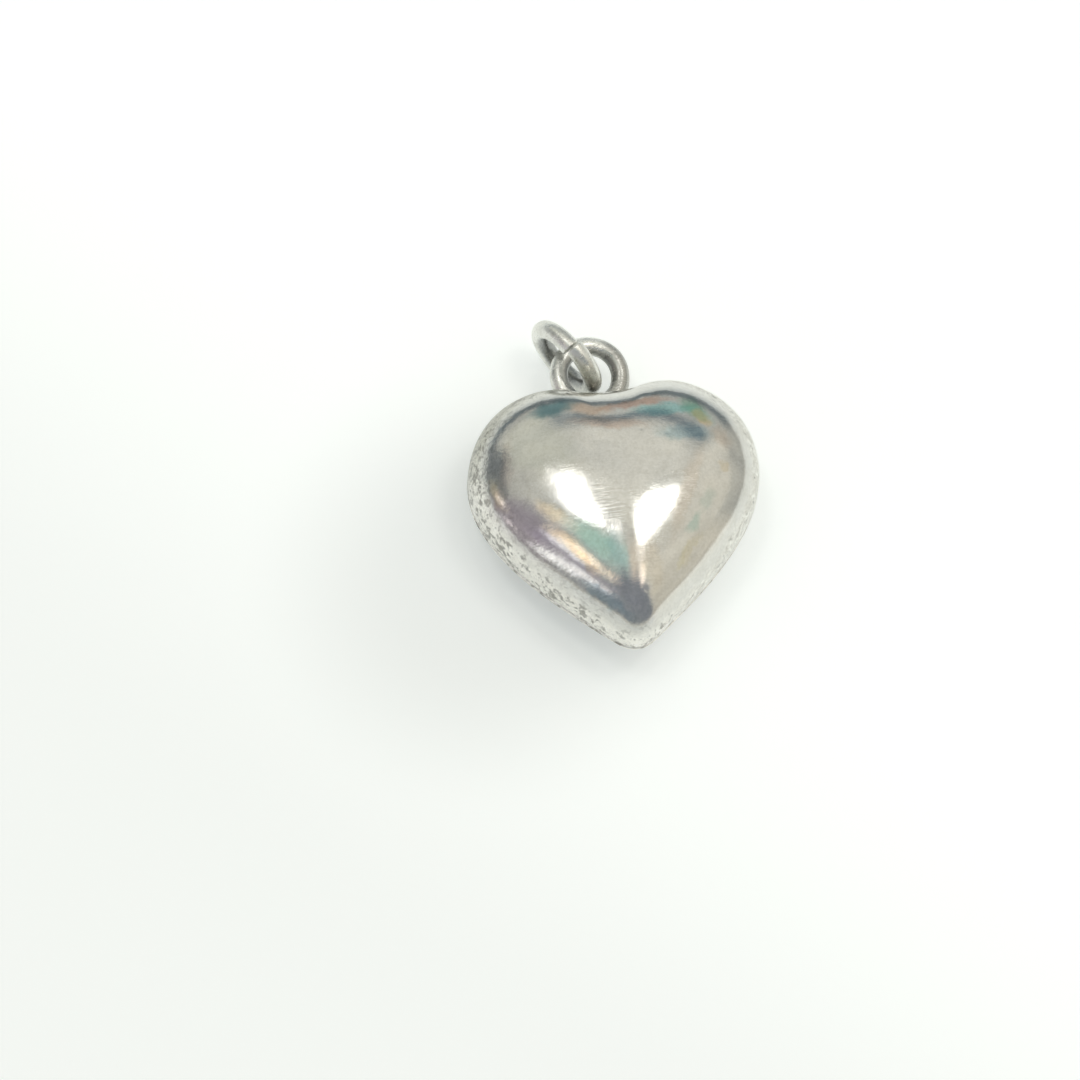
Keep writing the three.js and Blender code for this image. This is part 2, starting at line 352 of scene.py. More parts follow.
def mesh_from_grid(name, grid, loop=False):
    """Closed mesh over rows of points, each row a loop. With loop the last row meets the first one,
    and otherwise the first and last rows each close to a point."""
    rows, across, _ = grid.shape
    points = grid.reshape(-1, 3)
    index = np.arange(rows * across).reshape(rows, across)
    if loop:
        index = np.vstack([index, index[:1]])
    row, above = index[:-1], index[1:]
    faces = np.stack([row, np.roll(row, -1, 1), np.roll(above, -1, 1), above], -1).reshape(-1, 4).tolist()
    if not loop:
        points = np.vstack([points, grid[0].mean(0), grid[-1].mean(0)])
        first, last = rows * across, rows * across + 1
        faces += [[first, int(j), int(i)] for i, j in zip(index[0], np.roll(index[0], -1))]
        faces += [[last, int(i), int(j)] for i, j in zip(index[-1], np.roll(index[-1], -1))]
    mesh = bpy.data.meshes.new(name)
    mesh.from_pydata((points * MM).tolist(), [], faces)
    mesh.validate()
    mesh.update()
    return mesh


def link_object(name, data):
    """A new object in the scene."""
    obj = bpy.data.objects.new(name, data)
    bpy.context.scene.collection.objects.link(obj)
    return obj


def add_piece(name, mesh, body, node, material):
    """A visible piece that rides a body and stands for a CAD node, its mesh placed by that body's frame."""
    obj = link_object(name, mesh)
    mesh.transform(piece_frames[body])
    mesh.polygons.foreach_set("use_smooth", [True] * len(mesh.polygons))
    mesh.set_sharp_from_angle(angle=radians(SHARP_ANGLE))
    mesh.materials.append(material)
    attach(obj, body)
    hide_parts(node)
    return obj


def shell_mesh(name, dome, side, seed, dings):
    """One hollow half: the inside from the crown down, the filleted rim, and the outside up to the crown."""
    lining = dome.grid(-SHEET, LINING_RINGS, LINING_START)[::-1]
    fillet = np.vstack([
        dome.level_ring(RIM_FILLET * (1 - cos(turn)), SEAM_HALF + RIM_FILLET * (1 - sin(turn)))
        for turn in np.linspace(pi / 2, 0, FILLET_RINGS, endpoint=False)
    ])
    outside = dome.grid(0, DOME_RINGS, RIM_FILLET)
    skin = np.vstack([dome.level_ring(SHEET, SEAM_HALF), fillet, outside])
    normals = grid_normals(skin)
    normals *= np.sign((normals * (skin - [0, -dome.crown_below, 0])).sum(-1, keepdims=True))
    fade = np.clip((skin[..., 2] - SEAM_HALF) / SHEET_RIPPLE_FADE, 0, 1)
    height = unevenness(skin, SHEET_RIPPLES, seed) * fade
    for x, y, width, depth in dings:
        off = (skin[..., 0] - x) ** 2 + (skin[..., 1] - y) ** 2
        height -= depth * np.exp(-off / (2 * (width / 2) ** 2)) * fade
    skin = skin + normals * height[..., None]
    grid = np.vstack([lining, skin])
    grid[..., 2] *= side
    if side < 0:
        grid = grid[:, ::-1]
    return mesh_from_grid(name, grid)


def cut_vent(obj):
    """The small hole in the back that let the hot air out while the halves were soldered."""
    turn = np.linspace(0, 2 * pi, VENT_STEPS, endpoint=False)
    radius = VENT_DIAMETER / 2
    rings = [[radius * np.cos(turn), VENT_ABOVE_WIDEST + radius * np.sin(turn),
              np.full_like(turn, -BACK_DOME_HEIGHT * share)] for share in VENT_CUTTER_ENDS]
    cutter_mesh = mesh_from_grid("vent_cutter", np.array(rings).transpose(0, 2, 1))
    cutter_mesh.transform(heart_frame)
    cutter = link_object("vent_cutter", cutter_mesh)
    cut = obj.modifiers.new("vent", "BOOLEAN")
    cut.operation = "DIFFERENCE"
    cut.solver = "EXACT"
    cut.object = cutter
    bpy.context.view_layer.update()
    cut_mesh = bpy.data.meshes.new_from_object(obj.evaluated_get(bpy.context.evaluated_depsgraph_get()))
    obj.modifiers.clear()
    obj.data = cut_mesh
    bpy.data.objects.remove(cutter)


def seam_mesh():
    """The solder between the two rims: a shallow hollow band that wanders a little in depth."""
    wander = unevenness(FRONT_DOME.level_ring(0, 0), SEAM_RIPPLES, SEAM_SEED)[0]
    rows = [FRONT_DOME.level_ring(inset + wander, share * SEAM_HALF) for share, inset in SEAM_PROFILE]
    return mesh_from_grid("seam_solder_bead", np.vstack(rows), loop=True)


def eyelet_mesh():
    """The eyelet as a closed wire ring, with the small unevenness of drawn and bent wire."""
    turn = np.linspace(0, 2 * pi, EYELET_STEPS, endpoint=False)[:, None]
    round_wire = np.linspace(0, 2 * pi, EYELET_SIDES, endpoint=False)[None, :]
    wire = EYELET_WIRE / 2
    reach = eyelet_radius + wire * np.cos(round_wire)
    grid = np.stack(np.broadcast_arrays(
        reach * np.cos(turn), reach * np.sin(turn), wire * np.sin(round_wire)), -1)
    centre = np.stack(np.broadcast_arrays(
        eyelet_radius * np.cos(turn), eyelet_radius * np.sin(turn), 0 * turn), -1)
    outward = (grid - centre) / wire
    grid = grid + outward * unevenness(grid, WIRE_RIPPLES, EYELET_SEED)[..., None]
    mesh = mesh_from_grid("eyelet_wire", grid, loop=True)
    mesh.transform(eyelet_place)
    return mesh


def jump_ring_mesh():
    """The jump ring in its own xy plane, cut towards +x, its two ends a little out of line."""
    wire = RING_WIRE / 2
    half_gap = RING_SPLIT / ring_radius / 2
    round_wire = np.linspace(0, 2 * pi, RING_SIDES, endpoint=False)[:, None]
    stations = [(0.0, wire - RING_END_BEVEL)]
    stations += [(RING_END_BEVEL * (1 - cos(rise)) / ring_radius, wire - RING_END_BEVEL * (1 - sin(rise)))
                 for rise in np.linspace(BEVEL_START, pi / 2, BEVEL_RINGS)]
    lead = [(half_gap + angle, size) for angle, size in stations]
    bevelled = lead[-1][0]
    plain = np.linspace(bevelled + BEVEL_MARGIN, 2 * pi - bevelled - BEVEL_MARGIN, RING_STEPS)
    body = [(angle, wire) for angle in plain]
    tail = [(2 * pi - angle, size) for angle, size in reversed(lead)]
    upright = np.array([0, 0, 1.0])
    rows = []
    for angle, size in lead + body + tail:
        from_split = min(angle, 2 * pi - angle)
        sign = 1 if angle < pi else -1
        slip = sign * np.exp(-(from_split / RING_END_SPREAD) ** 2)
        outward = np.array([cos(angle), sin(angle), 0])
        centre = outward * (ring_radius + RING_END_SPRING * slip)
        centre[2] = RING_END_SLIP * slip
        rows.append(centre + size * np.cos(round_wire) * outward + size * np.sin(round_wire) * upright)
    return mesh_from_grid("jump_ring_wire", np.array(rows))


def eyelet_solder_mesh():
    """A low uneven fillet of solder along the foot of the eyelet."""
    turn = np.linspace(0, 2 * pi, SOLDER_STEPS, endpoint=False)[None, :]
    rise = np.linspace(-pi / 2, pi / 2, SOLDER_RINGS)[1:-1, None]
    grid = np.stack(np.broadcast_arrays(
        SOLDER_LENGTH / 2 * np.sin(rise),
        SOLDER_RISE * SOLDER_RISE_SHARE * np.cos(rise) * np.cos(turn),
        SOLDER_WIDTH / 2 * np.cos(rise) * np.sin(turn)), -1).copy()
    grid += unevenness(grid, SOLDER_RIPPLES, SOLDER_SEED)[..., None] * grid
    grid += np.array([EYELET_OFFSET, notch_height, 0])
    return mesh_from_grid("eyelet_solder_fillet", grid)


# Places of the Mix node's colour sockets among its inputs and outputs
MIX_SHARE = 0
MIX_FIRST = 6
MIX_SECOND = 7
MIX_COLOUR = 2


class Nodes:
    """Builds a material's nodes. Most calls add a node and return its output socket."""

    def __init__(self, tree):
        self.tree = tree

    def add(self, kind, **values):
        node = self.tree.nodes.new(kind)
        for key, value in values.items():
            setattr(node, key, value)
        return node

    def put(self, socket, value):
        """Links a socket to a node's output, or gives it a constant; a colour is three numbers."""
        if isinstance(value, bpy.types.NodeSocket):
            self.tree.links.new(value, socket)
        elif socket.type == "RGBA":
            socket.default_value = (*value, 1)
        else:
            socket.default_value = value

    def put_all(self, node, values):
        for name, value in values.items():
            self.put(node.inputs[name], value)

    def math(self, operation, *values):
        node = self.add("ShaderNodeMath", operation=operation)
        for socket, value in zip(node.inputs, values):
            self.put(socket, value)
        return node.outputs[0]

    def plus(self, a, b):
        return self.math("ADD", a, b)

    def minus(self, a, b):
        return self.math("SUBTRACT", a, b)

    def times(self, a, b):
        return self.math("MULTIPLY", a, b)

    def distance(self, a, b):
        """How far a point lies from the origin, from its two coordinates."""
        return self.math("SQRT", self.plus(self.times(a, a), self.times(b, b)))

    def between(self, value, start, end):
        """0 where value is at start, 1 at end, and a smooth step between."""
        node = self.add("ShaderNodeMapRange", interpolation_type="SMOOTHSTEP")
        self.put_all(node, {"Value": value, "From Min": start, "From Max": end})
        return node.outputs[0]

    def to_range(self, value, low, high):
        """A value from 0 to 1, spread evenly from low to high."""
        node = self.add("ShaderNodeMapRange", interpolation_type="LINEAR")
        self.put_all(node, {"Value": value, "To Min": low, "To Max": high})
        return node.outputs[0]

    def mix(self, share, a, b, blend="MIX"):
        node = self.add("ShaderNodeMix", data_type="RGBA", blend_type=blend, clamp_factor=True)
        self.put(node.inputs[MIX_SHARE], share)
        self.put(node.inputs[MIX_FIRST], a)
        self.put(node.inputs[MIX_SECOND], b)
        return node.outputs[MIX_COLOUR]

    def tint(self, colour, by):
        return self.mix(1.0, colour, by, "MULTIPLY")

    def mapping(self, vector, location=(0, 0, 0), rotation=(0, 0, 0), scale=(1, 1, 1), kind="POINT"):
        node = self.add("ShaderNodeMapping", vector_type=kind)
        self.put_all(node, {"Vector": vector, "Location": location, "Rotation": rotation, "Scale": scale})
        return node.outputs[0]

    def noise(self, vector, cells, octaves, roughness, out="Fac"):
        """Noise from about 0 to 1, with this many cells along one unit of the vector."""
        node = self.add("ShaderNodeTexNoise")
        self.put_all(node, {"Vector": vector, "Scale": cells, "Detail": octaves, "Roughness": roughness})
        return node.outputs[out]

    def patterns(self, place, table):
        """Noise patterns by name. The table gives how far each is moved aside, its cells for each
        millimetre, its octaves and its roughness."""
        return {name: self.noise(self.mapping(place, location=aside), *shape)
                for name, (aside, *shape) in table.items()}

    def vector(self, operation, *values):
        node = self.add("ShaderNodeVectorMath", operation=operation)
        for socket, value in zip(node.inputs, values):
            self.put(socket, value)
        return node.outputs[0]

    def split(self, vector):
        node = self.add("ShaderNodeSeparateXYZ")
        self.put(node.inputs[0], vector)
        return node.outputs[0], node.outputs[1], node.outputs[2]

    def relief(self, layers):
        """A normal bent by layers, each a height of about 0 to 1 with its depth in millimetres."""
        normal = None
        for height, depth in layers:
            node = self.add("ShaderNodeBump")
            self.put_all(node, {"Height": height, "Distance": depth * MM})
            if normal is not None:
                self.put(node.inputs["Normal"], normal)
            normal = node.outputs[0]
        return normal

    def millimetres(self, piece_frame):
        """Coordinates in millimetres in the frame that the piece was built in."""
        place = self.add("ShaderNodeTexCoord").outputs["Object"]
        back = piece_frame.inverted()
        return self.mapping(place, location=back.translation / MM, rotation=back.to_euler("XYZ"),
                            scale=(1 / MM,) * 3)

    def coated(self, colour, masks, coats):
        """colour under coats, each over the last: where it lies, how strongly it covers, and its colour."""
        for where, strength, shade in coats:
            if where in masks:
                colour = self.mix(self.times(masks[where], strength), colour, shade)
        return colour


def new_material(name, metallic):
    """A new material, the builder of its nodes, and its shader."""
    material = bpy.data.materials.new(name)
    material.use_nodes = True
    shader = material.node_tree.nodes["Principled BSDF"]
    shader.inputs["Metallic"].default_value = metallic
    return material, Nodes(material.node_tree), shader


# Fine straight scratches follow the middle value of a stretched noise: the direction of each set and its
# cells for each millimetre across, the cells along, the noise, and the lines' width in its values. Each
# set and the patches in which it shows are moved aside, so that no two are alike
SCRATCH_SETS = [(12, 7.0), (-24, 9.0), (67, 8.0), (-63, 6.5), (2, 11.0)]
SCRATCH_STRETCH = 0.22
SCRATCH_PATTERN = (1.0, 2.0, 0.6)
SCRATCH_MIDDLE = 0.5
SCRATCH_WIDTH = 0.022
SCRATCH_ASIDE = (7.7, 5.3)
SCRATCH_SEED_ASIDE = 3.1
PATCH_PATTERN = (0.35, 1.0, 0.55)
PATCH_ASIDE = 9.1
PATCH_EDGES = (0.48, 0.62)


def scratches(nodes, place, seed):
    """Fine straight scratches in a few directions, as a height from 0 to 1."""
    total = None
    for number, (angle, fine) in enumerate(SCRATCH_SETS):
        aside = (seed * SCRATCH_SEED_ASIDE + number * SCRATCH_ASIDE[0], number * SCRATCH_ASIDE[1], seed)
        drawn = nodes.mapping(place, location=aside, rotation=(0, 0, radians(angle)),
                              scale=(SCRATCH_STRETCH, fine, SCRATCH_STRETCH))
        grain = nodes.noise(drawn, *SCRATCH_PATTERN)
        off_middle = nodes.math("ABSOLUTE", nodes.minus(grain, SCRATCH_MIDDLE))
        line = nodes.between(off_middle, SCRATCH_WIDTH, 0.0)
        moved = nodes.mapping(place, location=(number * PATCH_ASIDE, seed, 0))
        patch = nodes.between(nodes.noise(moved, *PATCH_PATTERN), *PATCH_EDGES)
        line = nodes.times(line, patch)
        total = line if total is None else nodes.math("MAXIMUM", total, line)
    return total


# Iridescent tarnish of the front, with painted reflections of the room's coloured areas and painted warm
# glints among it: x, y, half length, half width, turn in degrees, colour, strength
FRONT_TARNISH_AND_REFLECTIONS = [
    (-4.05, 3.74, 1.55, 0.60, 12, (0.32, 0.50, 0.55), 1.00),
    (-1.69, 3.26, 1.38, 0.56, -13, (1.00, 0.80, 0.68), 0.90),
    (3.50, 2.80, 2.10, 0.48, 5, (0.60, 0.97, 0.99), 0.90),
    (1.60, 3.42, 2.30, 0.34, 7, (0.92, 0.68, 0.60), 0.90),
    (-0.63, 2.02, 2.37, 0.41, -10, (0.96, 0.80, 0.72), 0.80),
    (5.70, 2.75, 1.20, 0.62, -48, (0.45, 0.74, 0.60), 0.85),
    (6.02, 2.15, 0.66, 0.40, -52, (1.50, 1.02, 0.72), 0.75),
    (4.60, 0.92, 1.70, 0.58, -1, (0.63, 0.81, 0.89), 0.80),
    (7.13, 0.64, 0.84, 0.61, -67, (1.00, 0.88, 0.80), 0.60),
    (4.23, -3.29, 3.46, 0.48, 66, (1.00, 0.91, 0.84), 0.55),
    (7.06, -1.48, 0.47, 0.32, -70, (1.00, 0.88, 0.68), 0.50),
    (4.40, -5.62, 0.74, 0.30, 44, (0.62, 0.80, 0.78), 0.70),
    (5.56, -3.96, 0.89, 0.40, 62, (0.70, 0.82, 0.80), 0.50),
    (4.07, -7.16, 1.13, 0.26, 55, (1.00, 0.95, 0.78), 0.50),
    (3.36, -7.78, 0.85, 0.18, 57, (1.00, 0.98, 0.82), 0.50),
    (-2.55, -6.18, 1.71, 0.72, -49, (0.84, 0.98, 0.94), 0.85),
    (-1.09, -7.17, 1.24, 0.61, -70, (0.72, 0.86, 0.92), 0.60),
    (-5.15, -3.91, 1.03, 0.36, -45, (1.00, 0.93, 0.82), 0.85),
    (-3.23, -7.46, 1.40, 0.24, -56, (1.00, 0.91, 0.80), 0.85),
    (-4.41, -5.73, 0.98, 0.25, -36, (1.00, 0.93, 0.84), 0.70),
    (-6.91, -4.20, 2.20, 0.67, -47, (0.95, 0.90, 0.96), 0.80),
    (1.15, -8.19, 1.56, 0.66, -84, (1.00, 0.93, 0.84), 0.55),
    (-7.72, -0.17, 1.88, 0.40, 79, (0.84, 0.76, 0.74), 0.60),
    (-8.51, -1.81, 1.00, 0.25, -81, (1.00, 0.88, 0.74), 0.60),
    (-0.29, -9.97, 1.68, 0.92, -53, (0.88, 0.84, 0.92), 0.60),
    (-2.02, -9.99, 1.95, 0.31, -44, (0.70, 0.84, 0.92), 0.70),
]

# How far the edges of the tarnish and painted reflection patches wander, how far past its half sizes a
# patch fades out, and where in that fade it is whole
WANDER_PATTERN = (0.9, 4.0, 0.6)
TINT_WANDER = 1.1
TINT_FADE = 1.5
TINT_WHOLE = 0.7


def with_tarnish_and_reflections(nodes, place, colour, tint_patches):
    """colour with soft-edged patches of tarnish and painted reflection laid over it, their edges wandering.
    """
    noise = nodes.noise(place, *WANDER_PATTERN, out="Color")
    wander = nodes.vector("SUBTRACT", noise, (0.5, 0.5, 0.5))
    moved = nodes.vector("MULTIPLY_ADD", wander, (TINT_WANDER, TINT_WANDER, 0), place)
    flat = nodes.vector("MULTIPLY", moved, (1, 1, 0))
    for x, y, length, width, angle, tint, strength in tint_patches:
        local = nodes.mapping(flat, location=(x, y, 0), rotation=(0, 0, radians(angle)),
                              scale=(length * TINT_FADE, width * TINT_FADE, 1), kind="TEXTURE")
        glow = nodes.add("ShaderNodeTexGradient", gradient_type="SPHERICAL")
        nodes.put(glow.inputs[0], local)
        share = nodes.times(nodes.between(glow.outputs[1], 0.0, TINT_WHOLE), strength)
        colour = nodes.mix(share, colour, nodes.tint(colour, tint))
    return colour


# The values of the shells' patterns at which they start to show and at which they are whole
SHELL_EDGES = {
    "broad": (0.35, 0.70),
    "film": (0.42, 0.72),
    "grain": (0.42, 0.62),
    "cloud": (0.38, 0.62),
    "mottle": (0.42, 0.62),
}

# The rim's film ends at a ragged level over the seam, which sinks towards the tip. Its worn side is the
# lower left, and painted shade darkens its upper left, both by a slanting line. Specks lie thicker on the
# worn side and reach past the rim there
RIM_LEVELS = (4.5, 3.5)
NEAR_RIM_LEVELS = (6.2, 4.4)
RIM_SLANT = 0.14
RIM_RAGGEDNESS = 1.8
WORN_SLANT = 0.5
WORN_REACH = (-3.0, 8.0)
PAINTED_SHADE_SLANT = 1.2
PAINTED_SHADE_REACH = (8.0, 13.0)
SPECK_CLUSTERS = 0.30
SPECK_WEAR = 0.085
SPECK_EDGES = (0.752, 0.820)

# Colours of the shells' silver and of the film on their rims, and their coats: where each lies, how
# strongly it covers, and its colour
BRIGHT_SILVER = (0.73, 0.725, 0.69)
SOFT_SILVER = (0.69, 0.68, 0.635)
SILVER_COATS = [
    ("film", 1.0, (0.64, 0.63, 0.585)),
    ("grain", 0.34, (0.55, 0.54, 0.50)),
]
NEAR_RIM_COATS = [("near_speck", 0.35, (0.30, 0.29, 0.27))]
PALE_FILM = (0.95, 0.94, 0.885)
DULL_FILM = (0.70, 0.68, 0.62)
RIM_COATS = [
    ("grain", 0.45, (0.46, 0.44, 0.38)),
    ("mottle", 0.50, (0.50, 0.48, 0.42)),
    ("worn_side", 0.70, (0.98, 0.96, 0.90)),
    # painted shade on the upper left of the rim
    ("painted_shade_side", 0.92, (0.44, 0.43, 0.37)),
    ("speck", 0.80, (0.23, 0.22, 0.19)),
]
SCRATCH_COATS = [("scratch", 0.10, (0.92, 0.91, 0.87))]

# Roughness of the polished shells, and what the rim and a scratch add to it
POLISH_ROUGHNESS = (0.045, 0.12)
RIM_ROUGHNESS = 0.15
SCRATCH_ROUGHNESS = 0.02

# Depths of the shells' relief
RIPPLE_DEPTH = 0.0040
RUB_DEPTH = 0.0030
SCRATCH_DEPTH = 0.0005
BEATEN_DEPTH = 0.014
PIT_DEPTH = 0.0080


def shell_masks(nodes, place, noise, side):
    """Where the coats of a shell's silver lie, each from 0 to 1."""
    x, y, height = nodes.split(place)
    level = nodes.minus(nodes.times(height, side), nodes.times(y, RIM_SLANT))
    level = nodes.plus(level, nodes.times(noise["ragged"], RIM_RAGGEDNESS))
    masks = {name: nodes.between(noise[name], *edges) for name, edges in SHELL_EDGES.items()}
    masks["rim"] = nodes.between(level, *RIM_LEVELS)
    to_worn_side = nodes.minus(nodes.times(x, -1.0), nodes.times(y, WORN_SLANT))
    masks["worn_side"] = nodes.between(to_worn_side, *WORN_REACH)
    # Painted shade of the rim's upper left
    masks["painted_shade_side"] = nodes.between(nodes.minus(nodes.times(y, PAINTED_SHADE_SLANT), x), *PAINTED_SHADE_REACH)
    spread = nodes.plus(nodes.times(noise["wide"], SPECK_CLUSTERS),
                        nodes.times(masks["worn_side"], SPECK_WEAR))
    masks["speck"] = nodes.between(nodes.plus(noise["fine"], spread), *SPECK_EDGES)
    masks["near_rim"] = nodes.times(nodes.between(level, *NEAR_RIM_LEVELS), masks["worn_side"])
    masks["near_speck"] = nodes.times(masks["near_rim"], masks["speck"])
    return masks


def shell_material(name, seed, tint_patches, side):
    """Old polished silver with coloured tarnish and painted reflections among its patches; dull, pitted and
    speckled along the rim, with painted shade on the rim's upper left.
    """
    material, nodes, shader = new_material(name, metallic=1.0)
    place = nodes.millimetres(heart_frame)
    noise = nodes.patterns(place, {
        "ragged": ((0, 0, 0), 0.9, 5.0, 0.70),
        "broad": ((seed, 0, 0), 0.25, 4.0, 0.60),
        "film": ((3, seed, 1), 1.6, 8.0, 0.75),
        "grain": ((seed, 9, 4), 5.0, 5.0, 0.80),
        "cloud": ((0, seed, 3), 1.3, 6.0, 0.75),
        "mottle": ((9, seed, 2), 2.4, 6.0, 0.80),
        "fine": ((seed, 2, 1), 2.2, 6.0, 0.72),
        "wide": ((2, seed, 5), 0.75, 3.0, 0.60),
        "polish": ((seed, 7, 7), 2.5, 5.0, 0.65),
        "ripple": ((0, 0, 0), 4.0, 5.0, 0.65),
        "rub": ((0, 0, 0), 6.0, 4.0, 0.75),
        "beaten": ((6, 1, seed), 2.6, 4.0, 0.60),
    })
    masks = shell_masks(nodes, place, noise, side)
    lines = scratches(nodes, place, seed)
    masks["scratch"] = lines

    silver = nodes.mix(masks["broad"], BRIGHT_SILVER, SOFT_SILVER)
    silver = nodes.coated(silver, masks, SILVER_COATS)
    # Tarnish and painted reflections of the room, laid over the silver
    silver = with_tarnish_and_reflections(nodes, place, silver, tint_patches)
    silver = nodes.coated(silver, masks, NEAR_RIM_COATS)
    film = nodes.mix(masks["cloud"], PALE_FILM, DULL_FILM)
    film = nodes.coated(film, masks, RIM_COATS)
    colour = nodes.coated(nodes.mix(masks["rim"], silver, film), masks, SCRATCH_COATS)

    rough = nodes.to_range(noise["polish"], *POLISH_ROUGHNESS)
    rough = nodes.plus(rough, nodes.times(masks["rim"], RIM_ROUGHNESS))
    rough = nodes.plus(rough, nodes.times(lines, SCRATCH_ROUGHNESS))

    pits = nodes.plus(nodes.plus(masks["speck"], noise["fine"]), masks["mottle"])
    normal = nodes.relief([
        (noise["ripple"], RIPPLE_DEPTH),
        (noise["rub"], RUB_DEPTH),
        (nodes.minus(1.0, lines), SCRATCH_DEPTH),
        (nodes.times(noise["beaten"], masks["near_rim"]), BEATEN_DEPTH),
        (nodes.minus(1.0, nodes.times(pits, masks["rim"])), PIT_DEPTH),
    ])
    nodes.put_all(shader, {"Base Color": colour, "Roughness": rough, "Normal": normal})
    return material


# Silver of the bent wires, whose noise patterns are moved aside by nothing
NO_MOVE = (0, 0, 0)
WIRE_PATTERNS = {
    "cloud": (NO_MOVE, 0.9, 5.0, 0.7),
    "speck": (NO_MOVE, 5.0, 6.0, 0.75),
    "satin": (NO_MOVE, 2.0, 4.0, 0.6),
    "drawn": (NO_MOVE, 3.0, 5.0, 0.65),
}
PALE_WIRE = (0.84, 0.84, 0.785)
DULL_WIRE = (0.66, 0.66, 0.61)
WIRE_CLOUD_EDGES = (0.35, 0.68)
WIRE_SPECK_EDGES = (0.56, 0.66)
WIRE_COATS = [
    # painted shade on the inner side of the ring
    ("inside", 0.80, (0.24, 0.25, 0.25)),
    # painted highlight on the eyelet's top
    ("top", 0.70, (0.97, 0.97, 0.91)),
    # dark oxide and painted shade of the crease at the eyelet's foot
    ("foot", 0.45, (0.24, 0.225, 0.19)),
    # painted shade on the eyelet's right leg
    ("painted_shade_leg", 0.75, (0.34, 0.335, 0.31)),
    ("speck", 0.35, (0.26, 0.245, 0.21)),
    ("scratch", 0.40, (0.90, 0.89, 0.85)),
]
WIRE_ROUGHNESS = (0.22, 0.34)
WIRE_DEPTH = 0.009
WIRE_SCRATCH_DEPTH = 0.004
WIRE_SCRATCH_SEED = 4

# Inside the middle line of the wire: where its painted shade starts and where it is whole
INSIDE_START = 0.10
INSIDE_WHOLE = 0.50

# From the eyelet's centre: where the painted highlight on its top and the painted shade on its right leg
# start and are whole. Above its lowest point: where the dark oxide and painted shade of its foot start and
# are whole, with a ragged edge
TOP_REACH = (0.6, 2.0)
OUTER_LEG_REACH = (0.7, 1.7)
FOOT_START = 1.9
FOOT_WHOLE = 0.8
FOOT_RAGGEDNESS = 1.2


def wire_material(name, piece_frame, centre, radius, soldered):
    """Satin silver of a wire bent to a ring, with painted shade inside the ring. If soldered, also a painted
    highlight on its top, painted shade on its right leg, and dark oxide with painted shade at its foot.
    """
    material, nodes, shader = new_material(name, metallic=1.0)
    place = nodes.millimetres(piece_frame)
    noise = nodes.patterns(place, WIRE_PATTERNS)
    lines = scratches(nodes, place, WIRE_SCRATCH_SEED)
    x, y, _ = nodes.split(nodes.mapping(place, location=(-centre.x, -centre.y, 0)))
    masks = {
        # Painted shade inside the ring
        "inside": nodes.between(nodes.distance(x, y), radius - INSIDE_START, radius - INSIDE_WHOLE),
        "speck": nodes.between(noise["speck"], *WIRE_SPECK_EDGES),
        "scratch": lines,
    }
    if soldered:
        # Dark oxide and painted shade of the crease where the eyelet meets the heart
        foot = notch_height - centre.y
        rise = nodes.plus(y, nodes.times(noise["cloud"], FOOT_RAGGEDNESS))
        masks["foot"] = nodes.between(rise, foot + FOOT_START, foot + FOOT_WHOLE)
        # Painted highlight on the eyelet's top
        masks["top"] = nodes.between(y, *TOP_REACH)
        # Painted shade on the eyelet's right leg
        masks["painted_shade_leg"] = nodes.between(x, *OUTER_LEG_REACH)
    colour = nodes.mix(nodes.between(noise["cloud"], *WIRE_CLOUD_EDGES), PALE_WIRE, DULL_WIRE)
    colour = nodes.coated(colour, masks, WIRE_COATS)
    rough = nodes.to_range(noise["satin"], *WIRE_ROUGHNESS)
    normal = nodes.relief([
        (noise["drawn"], WIRE_DEPTH),
        (nodes.minus(1.0, lines), WIRE_SCRATCH_DEPTH),
    ])
    nodes.put_all(shader, {"Base Color": colour, "Roughness": rough, "Normal": normal})
    return material


# Solder: its noise patterns, and the bright and dark colour and the roughness of each place
SOLDER_PATTERNS = {
    "cloud": (NO_MOVE, 1.8, 6.0, 0.7),
    "satin": (NO_MOVE, 3.0, 4.0, 0.6),
    "rough": (NO_MOVE, 4.0, 6.0, 0.7),
}
SOLDER_EDGES = (0.38, 0.60)
SOLDER_DEPTH = 0.03
SEAM_SOLDER_LOOK = ((0.84, 0.83, 0.79), (0.50, 0.49, 0.45), (0.2, 0.4))
FOOT_SOLDER_LOOK = ((0.45, 0.44, 0.40), (0.10, 0.09, 0.075), (0.35, 0.6))


def solder_material(name, bright, dark, roughness):
    """Solder: greyer than the sheet, with dark oxide left in its hollows."""
    material, nodes, shader = new_material(name, metallic=1.0)
    noise = nodes.patterns(nodes.millimetres(heart_frame), SOLDER_PATTERNS)
    colour = nodes.mix(nodes.between(noise["cloud"], *SOLDER_EDGES), dark, bright)
    rough = nodes.to_range(noise["satin"], *roughness)
    normal = nodes.relief([(noise["rough"], SOLDER_DEPTH)])
    nodes.put_all(shader, {"Base Color": colour, "Roughness": rough, "Normal": normal})
    return material


